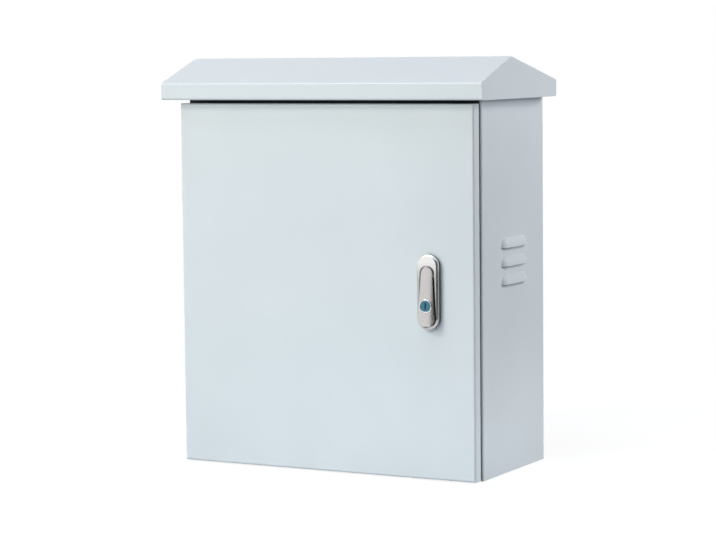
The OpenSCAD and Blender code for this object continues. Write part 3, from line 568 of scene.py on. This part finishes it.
def threadShell(base, direction, length, s, columns=28, perTurn=8, tipCut=1.6):
    # the radius falls by a triangle wave of (height / pitch - angle / full turn)
    # the tip is a cone that ends tipCut thread depths under the outer radius
    height = np.linspace(0, length, int(length / s["pitch"] * perTurn) + 2)[:, None]
    angle = np.linspace(0, 2 * np.pi, columns, endpoint=False)[None, :]
    wave = np.abs((height / s["pitch"] - angle / (2 * np.pi)) % 1 * 2 - 1)
    radius = np.minimum(s["r"] - s["depth"] * wave, s["r"] - tipCut * s["depth"] + (length - height))
    radius = np.concatenate([np.zeros((1, columns)), radius, np.zeros((1, columns))])
    height = np.concatenate([height[:1], height, height[-1:]])
    points = roundAbout(radius, height, angle, base, direction)
    return points.reshape(-1, 3), gridFaces(len(height), columns)


# shares of half the width over the flats
hexCut = {"steps": (0, 0.03, 0.06, 0.09, 0.13), "face": 0.955, "lead": 0.08}


def hexShell(base, direction, s, thick, bore, columns=72):
    # radius = flat / cos(angle folded into 30 degrees either way), cut at both ends by a cone of 30 degrees
    angle = np.linspace(0, 2 * np.pi, columns, endpoint=False)[None, :]
    hexagon = s["flat"] / np.cos(angle % (np.pi / 3) - np.pi / 6)
    rise = np.array(hexCut["steps"])[:, None] * s["flat"]
    edge = np.minimum(hexagon, hexCut["face"] * s["flat"] + rise * math.sqrt(3))
    height = np.concatenate([rise, thick - rise[::-1]])
    radius = np.concatenate([edge, edge[::-1]])
    inner = np.full((1, columns), bore)
    lead = hexCut["lead"] * s["flat"] if bore else 0.0
    radius = np.concatenate([inner, inner + lead, radius, inner + lead, inner])
    height = np.concatenate([[[lead]], [[0]], height, [[thick]], [[thick - lead]]])
    points = roundAbout(radius, height, angle, base, direction)
    return points.reshape(-1, 3), gridFaces(len(height), columns, wrapRows=bool(bore))


def recessedShell(base, direction, s, mask, columns=96, rings=30):
    # a flat or domed face, height - dome * (r / R)^2 - depth * mask(x, y)
    # below it are a round edge, a straight wall and a closed back
    angle = np.linspace(0, 2 * np.pi, columns, endpoint=False)[None, :]
    across = np.linspace(0, s["r"] - s["edge"], rings)[:, None]
    turn = np.linspace(0, np.pi / 2, 6)[1:, None]
    radius = np.concatenate([across, s["r"] - s["edge"] + s["edge"] * np.sin(turn), [[s["r"]]], [[0.0]]])
    x, y = radius * np.cos(angle), radius * np.sin(angle)
    height = s["high"] - s["dome"] * (radius / s["r"]) ** 2 - s["deep"] * mask(x, y) + 0 * angle
    height[rings:rings + len(turn)] -= s["edge"] * (1 - np.cos(turn))
    height[-2:] = 0
    points = roundAbout(radius, height, angle, base, direction)
    return points.reshape(-1, 3), gridFaces(len(radius), columns)


def standing(node, r, across):
    # centres of the round things that stand in rows of two or three over a node's box, along two axes
    low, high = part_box(node)
    spans = []
    for k, count in across:
        middle = ((low[k] + high[k]) / 2,) if count == 3 else ()
        spans.append((low[k] + r, *middle, high[k] - r))
    return [(u, v) for u in spans[0] for v in spans[1]]


# threads in metres; flat is half the width over the flats
metric6 = {"r": 0.0030, "pitch": 0.0010, "depth": 0.00055, "flat": 0.00493, "thick": 0.0048, "head": 0.0039}
metric5 = {"r": 0.0025, "pitch": 0.0008, "depth": 0.00045, "flat": 0.00411, "head": 0.00325}
metric8 = {"r": 0.0040, "pitch": 0.00125, "depth": 0.00070, "flat": 0.00658, "thick": 0.0064}


def plateHardware():
    # welded studs and nuts that hold the mounting plate
    low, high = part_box("plate_studs")
    nutLow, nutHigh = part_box("plate_nuts")
    spots = standing("plate_studs", metric6["r"], ((0, 2), (2, 2)))
    front = (0, -1, 0)
    studs = [threadShell((x, high.y, z), front, high.y - low.y, metric6) for x, z in spots]
    nuts = [hexShell((x, nutHigh.y, z), front, metric6, nutHigh.y - nutLow.y, metric6["r"]) for x, z in spots]
    makePiece("plateStudThreads", studs, "cabinet", "zinc", ["plate_studs"])
    makePiece("plateHexNuts", nuts, "cabinet", "zinc", ["plate_nuts"])


def glandHardware():
    low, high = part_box("gland_studs")
    nutLow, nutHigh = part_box("gland_nuts")
    spots = standing("gland_studs", metric5["r"], ((0, 3), (1, 2)))
    up = (0, 0, 1)
    studs = [threadShell((x, y, low.z), up, high.z - low.z, metric5) for x, y in spots]
    nuts = [hexShell((x, y, nutLow.z), up, metric5, nutHigh.z - nutLow.z, metric5["r"]) for x, y in spots]
    makePiece("glandStudThreads", studs, "cabinet", "zinc", ["gland_studs"])
    makePiece("glandHexNuts", nuts, "cabinet", "zinc", ["gland_nuts"])


earthing = {"washerR": 0.0088, "washerThick": 0.0012, "boreGap": 0.0004, "soft": 0.00025, "clear": 0.00002}


def earthHardware(s):
    low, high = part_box("earth_stud")
    x, y = (low.x + high.x) / 2, (low.y + high.y) / 2
    up = (0, 0, 1)
    thick = metric8["thick"]
    above = low.z + thick + s["clear"]
    ring = softLoop([
        (metric8["r"] + s["boreGap"], 0), (s["washerR"], 0), (s["washerR"], s["washerThick"]),
        (metric8["r"] + s["boreGap"], s["washerThick"]),
    ], s["soft"])
    stack = [
        hexShell((x, y, low.z), up, metric8, thick, metric8["r"]),
        turnedShell(ring, (x, y, above), up),
        hexShell((x, y, above + s["washerThick"] + s["clear"]), up, metric8, thick, metric8["r"]),
    ]
    stud = [threadShell((x, y, low.z), up, high.z - low.z, metric8)]
    makePiece("earthStudThread", stud, "cabinet", "zinc", ["earth_stud"])
    makePiece("earthNutsAndWasher", stack, "cabinet", "zinc", ["earth_nuts"])
    low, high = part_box("door_earth_stud")
    x, z = (low.x + high.x) / 2, (low.z + high.z) / 2
    inward = (0, 1, 0)
    pair = [
        hexShell((x, low.y + lift, z), inward, metric6, metric6["thick"], metric6["r"])
        for lift in (0, metric6["thick"] + s["clear"])
    ]
    stud = [threadShell((x, low.y, z), inward, high.y - low.y, metric6)]
    makePiece("doorEarthThread", stud, "door", "zinc", ["door_earth_stud"])
    makePiece("doorEarthNuts", pair, "door", "zinc", ["door_earth_nuts"])


def hoodHardware():
    # bolts that stand head down through the top plate, with their nuts inside the hood
    low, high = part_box("hood_bolts")
    nutLow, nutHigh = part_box("hood_nuts")
    flat, head = metric6["flat"], metric6["head"]
    corner = flat / math.cos(math.pi / 6)
    up = (0, 0, 1)
    bolts, nuts = [], []
    for x in (low.x + corner, high.x - corner):
        for y in (low.y + flat, high.y - flat):
            bolts.append(hexShell((x, y, low.z), up, metric6, head, 0))
            bolts.append(threadShell((x, y, low.z + head), up, high.z - low.z - head, metric6))
            nuts.append(hexShell((x, y, nutLow.z), up, metric6, nutHigh.z - nutLow.z, metric6["r"]))
    makePiece("hoodHexBolts", bolts, "cabinet", "zinc", ["hood_bolts"])
    makePiece("hoodHexNuts", nuts, "cabinet", "zinc", ["hood_nuts"])


def camHardware(s):
    # the bolt and the washer that hold the latch cam on the spindle
    low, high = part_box("cam_bolt")
    x, z = (low.x + high.x) / 2, (low.z + high.z) / 2
    seat = high.y - metric5["head"]
    bolt = [
        hexShell((x, seat, z), (0, 1, 0), metric5, metric5["head"], 0),
        threadShell((x, seat, z), (0, -1, 0), seat - low.y, metric5),
    ]
    makePiece("camHexBolt", bolt, "spindle", "zinc", ["cam_bolt"])
    low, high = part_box("cam_washer")
    bore, rim, thick = metric5["r"] + s["boreGap"], (high.x - low.x) / 2, high.y - low.y
    ring = softLoop([(bore, 0), (rim, 0), (rim, thick), (bore, thick)], s["soft"])
    makePiece("camWasher", [turnedShell(ring, (x, low.y, z), (0, 1, 0))], "spindle", "zinc", ["cam_washer"])


plateHardware()
glandHardware()
earthHardware(earthing)
hoodHardware()
camHardware(earthing)
print("studs and nuts cut")

crossHead = {
    "r": 0.0038, "high": 0.0026, "dome": 0.0006, "edge": 0.0007, "deep": 0.0012,
    "arm": 0.0024, "slot": 0.00045, "soft": 0.0003, "shank": 0.0020,
}


def smoothStep(value, edge, soft):
    t = np.clip((edge - value) / soft + 0.5, 0, 1)
    return t * t * (3 - 2 * t)


def lockScrews(s):
    # pan heads with a cross recess: the mask is one inside either of two crossed bars
    low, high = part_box("lock_screws")
    x = (low.x + high.x) / 2
    seat = high.y - s["high"]

    def bar(along, across):
        return smoothStep(np.abs(along), s["arm"], s["soft"]) * smoothStep(np.abs(across), s["slot"], s["soft"])

    def cross(u, v):
        return np.maximum(bar(u, v), bar(v, u))

    heads = []
    for z in (low.z + s["r"], high.z - s["r"]):
        heads.append(recessedShell((x, seat, z), (0, 1, 0), s, cross))
        long = seat - low.y
        shank = np.array([(0, 0), (s["shank"], 0), (s["shank"], long), (0, long)])
        heads.append(turnedShell(shank, (x, seat, z), (0, -1, 0), 24, closed=False))
    makePiece("lockPanScrews", heads, "door", "zinc", ["lock_screws"])


lockScrews(crossHead)

grommetForm = {"bore": 0.0100, "neck": 0.0150, "lip": 0.0200, "rim": 0.0018, "plate": 0.0015, "soft": 0.0009}


def cableGrommets(s):
    # a rubber outline with softened corners, turned round each cable's axis
    for side in ("left", "middle", "right"):
        low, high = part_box(side + "_grommet")
        tall = high.z - low.z
        upper = s["rim"] + s["plate"]
        loop = softLoop([
            (s["bore"], 0), (s["lip"], 0), (s["lip"], s["rim"]), (s["neck"], s["rim"]), (s["neck"], upper),
            (s["lip"], upper), (s["lip"], upper + s["rim"]), (s["neck"], upper + s["rim"]),
            ((s["bore"] + s["neck"]) / 2, tall), (s["bore"], tall),
        ], s["soft"], 6)
        base = ((low.x + high.x) / 2, (low.y + high.y) / 2, low.z)
        shell = turnedShell(loop, base, (0, 0, 1), 72)
        makePiece(side + "CableGrommet", [shell], "cabinet", "rubber", [side + "_grommet"])


cableGrommets(grommetForm)

sealStrip = {
    "width": 0.0120, "turn": 0.0060, "groove": 0.0011, "grooveHalf": 0.0010,
    "perCorner": 14, "acrossSteps": 33, "fill": 0.9,
}


def doorSeal(s):
    # a domed section, thick * (1 - (offset / half)^4)^0.5 less the lip's groove
    # it is carried round a rectangle with round corners
    low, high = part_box("door_seal")
    half = s["width"] / 2
    centre = np.array(((low.x + high.x) / 2, (low.z + high.z) / 2))
    reach = np.array(((high.x - low.x) / 2 - half - s["turn"], (high.z - low.z) / 2 - half - s["turn"]))
    quarter = np.linspace(0, np.pi / 2, s["perCorner"])
    angle = np.concatenate([quarter + k * np.pi / 2 for k in range(4)])
    signs = np.repeat([(1, 1), (-1, 1), (-1, -1), (1, -1)], s["perCorner"], 0)
    outward = np.stack([np.cos(angle), np.sin(angle)], 1)
    path = centre + signs * reach + outward * s["turn"]
    offset = half * np.cos(np.linspace(np.pi, 0, s["acrossSteps"]))
    dome = (high.y - low.y) * np.sqrt(np.clip(1 - (offset / half) ** 4, 0, 1))
    dome = dome - s["groove"] * np.exp(-((offset / s["grooveHalf"]) ** 2))
    dome[[0, -1]] = 0
    plan = path[:, None] + outward[:, None] * offset[None, :, None]
    points = np.stack([plan[..., 0], low.y + dome[None, :] + 0 * plan[..., 0], plan[..., 1]], -1)
    shell = (points.reshape(-1, 3), gridFaces(len(path), len(offset), wrapRows=True))
    strip = makePiece("doorSealFoam", [shell], "door", "foam", ["door_seal"], sharpAngle=60)


doorSeal(sealStrip)
print("seals and grommets moulded")

weldRun = {
    "r": 0.0016, "ripple": 0.10, "pitch": 0.0026, "lean": 0.0012, "step": 0.00065, "arcSteps": 8,
    "inset": 0.004,
    "fade": 0.004,  # over which a bead starts and ends
    "root": 0.0003,  # how far it reaches into the sheets
    "wall": 0.0012,
    "frontReturn": 0.0135,  # from the rain lip's front edge back to the inside of the frame
}


def weldBead(start, along, length, sideA, sideB, s):
    # a quarter round in the corner of two sheets
    # its radius ripples along the run, and the ripples lean to the middle
    run = np.linspace(0, length, int(length / s["step"]) + 1)[:, None]
    swing = np.linspace(0, np.pi / 2, s["arcSteps"])[None, :]
    ends = np.clip(np.minimum(run, length - run) / s["fade"], 0, 1) ** 0.5
    phase = 2 * np.pi * (run + s["lean"] * np.sin(2 * swing)) / s["pitch"]
    radius = s["r"] * (1 + s["ripple"] * np.cos(phase)) * ends
    a, b, d = (np.asarray(v, float) for v in (sideA, sideB, along))
    points = np.asarray(start) + d * run[..., None] + radius[..., None] * (
        np.cos(swing)[..., None] * a + np.sin(swing)[..., None] * b
    )
    root = np.asarray(start) + d * run - s["root"] * (a + b)
    points = np.concatenate([points, root[:, None]], 1)
    return points.reshape(-1, 3), gridFaces(len(run), s["arcSteps"] + 1)


def bodyWelds(s):
    low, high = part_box("bottom_plate")
    left, right, back = low.x, high.x, high.y
    front = low.y + s["frontReturn"]
    floor, roof = low.z + s["wall"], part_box("top_plate")[1].z - s["wall"]
    runs = []
    for z, inward in ((floor, (0, 0, 1)), (roof, (0, 0, -1))):
        depth = back - front - 2 * s["inset"]
        width = right - left - 2 * s["inset"]
        runs.append(weldBead((left, front + s["inset"], z), (0, 1, 0), depth, (1, 0, 0), inward, s))
        runs.append(weldBead((right, front + s["inset"], z), (0, 1, 0), depth, (-1, 0, 0), inward, s))
        runs.append(weldBead((left + s["inset"], back, z), (1, 0, 0), width, (0, -1, 0), inward, s))
    makePiece("cornerWelds", runs, "cabinet", "paint", sharpAngle=70)


bodyWelds(weldRun)
print("welds run")

# the dark strip that paints the shade in the door gaps; sideEdge sets how dark the side gap reads
frameStrip = {
    "thick": 0.0016,
    "wide": 0.0108,
    "topWide": 0.0150,
    "topEdge": 0.0004,  # from the top of the strip to the hood
    "bottomEdge": 0.0030,
    "sideEdge": 0.0009,
    "lip": 0.0120,  # from the rain lip's front edge back to the frame
    "sunk": 0.0001,
    "soft": 0.0004,
    "clear": 0.0015,  # on either side of a hinge leaf
}


def stripShell(low, high, soft):
    # a soft-cornered rectangle carried along the longest side of a box; at each end it shrinks to a point
    low, high = np.asarray(low, float), np.asarray(high, float)
    along = int(np.argmax(high - low))
    across = [k for k in range(3) if k != along]
    half, middle = (high - low) / 2, (high + low) / 2
    a, b = half[across]
    loop = softLoop([(-a, -b), (a, -b), (a, b), (-a, b)], soft)
    run = np.array([low[along]] * 2 + [low[along] + soft, high[along] - soft] + [high[along]] * 2)
    share = np.array([0.0, 0.7, 1.0, 1.0, 0.7, 0.0])  # of the outline, at each place along the run
    points = np.empty((len(run), len(loop), 3))
    points[..., along] = run[:, None]
    points[..., across] = middle[across] + share[:, None, None] * loop
    return points.reshape(-1, 3), gridFaces(len(run), len(loop))


def gapShadeRubber(s):
    # flat dark rubber round the front of the frame, behind the door's edge, cut at the hinge leaves; it paints
    # the shade in the gaps round the door and under the hood
    low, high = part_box("bottom_plate")
    front, side = low.y + s["lip"], high.x - s["sideEdge"]
    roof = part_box("top_plate")[1].z - s["topEdge"]
    foot = low.z + s["bottomEdge"]
    under, over = foot + s["wide"], roof - s["topWide"]
    leaves = sorted((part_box(n)[0].z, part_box(n)[1].z) for n in ("lower_hinge_leaf", "upper_hinge_leaf"))
    cuts = [under] + [z for bottom, top in leaves for z in (bottom - s["clear"], top + s["clear"])] + [over]
    spans = [(-side, side, foot, under), (-side, side, over, roof), (side - s["wide"], side, under, over)]
    spans += [(-side, s["wide"] - side, z0, z1) for z0, z1 in zip(cuts[::2], cuts[1::2])]
    ahead, behind = front - s["thick"], front + s["sunk"]
    strips = [stripShell((x0, ahead, z0), (x1, behind, z1), s["soft"]) for x0, x1, z0, z1 in spans]
    makePiece("gapShadeRubber", strips, "cabinet", "rubber")


gapShadeRubber(frameStrip)
print("frame strip laid")

keyFace = {
    "dome": 0.0, "edge": 0.0005, "deep": 0.0018,
    "slotHalf": 0.0007, "slotLong": 0.0040, "slotSoft": 0.0002,
    "stepAt": 0.0012, "stepHalf": 0.0009,  # the keyway's step, measured from the plug's middle
    "ringGap": 0.00006, "ringSink": 0.0002, "ringSoft": 0.0006,
}


def keyLock(s):
    # blue plug with a keyway that has one stepped side, and the ring that holds it, in a lighter nickel that
    # paints its highlight
    low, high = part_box("key_plug")
    x, z = (low.x + high.x) / 2, (low.z + high.z) / 2

    def keyway(u, v):
        soft = s["slotSoft"]
        main = smoothStep(np.abs(u), s["slotHalf"], soft) * smoothStep(np.abs(v), s["slotLong"], soft)
        step = smoothStep(np.abs(u - s["slotHalf"]), s["slotHalf"], soft)
        step = step * smoothStep(np.abs(v - s["stepAt"]), s["stepHalf"], soft)
        return np.maximum(main, step)

    form = dict(s, high=high.y - low.y, r=(high.x - low.x) / 2)
    plug = recessedShell((x, high.y, z), (0, -1, 0), form, keyway, rings=44)
    makePiece("keyPlugFace", [plug], "key", "key_blue", ["key_plug"])
    low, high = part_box("key_sleeve")
    outer, inner = (high.x - low.x) / 2, form["r"] + s["ringGap"]
    tall = high.y - low.y
    loop = softLoop([(inner, s["ringSink"]), (outer, 0), (outer, tall), (inner, tall)], s["ringSoft"], 6)
    shell = turnedShell(loop, (x, high.y, z), (0, -1, 0), 64)
    ring = makePiece("keyRing", [shell], "handle", "nickel", ["key_sleeve"])
    ring.data.materials[0] = platedMetal("ringNickelPaintedHighlight", ringNickelPaintedHighlight)


keyLock(keyFace)
print("lock dressed")
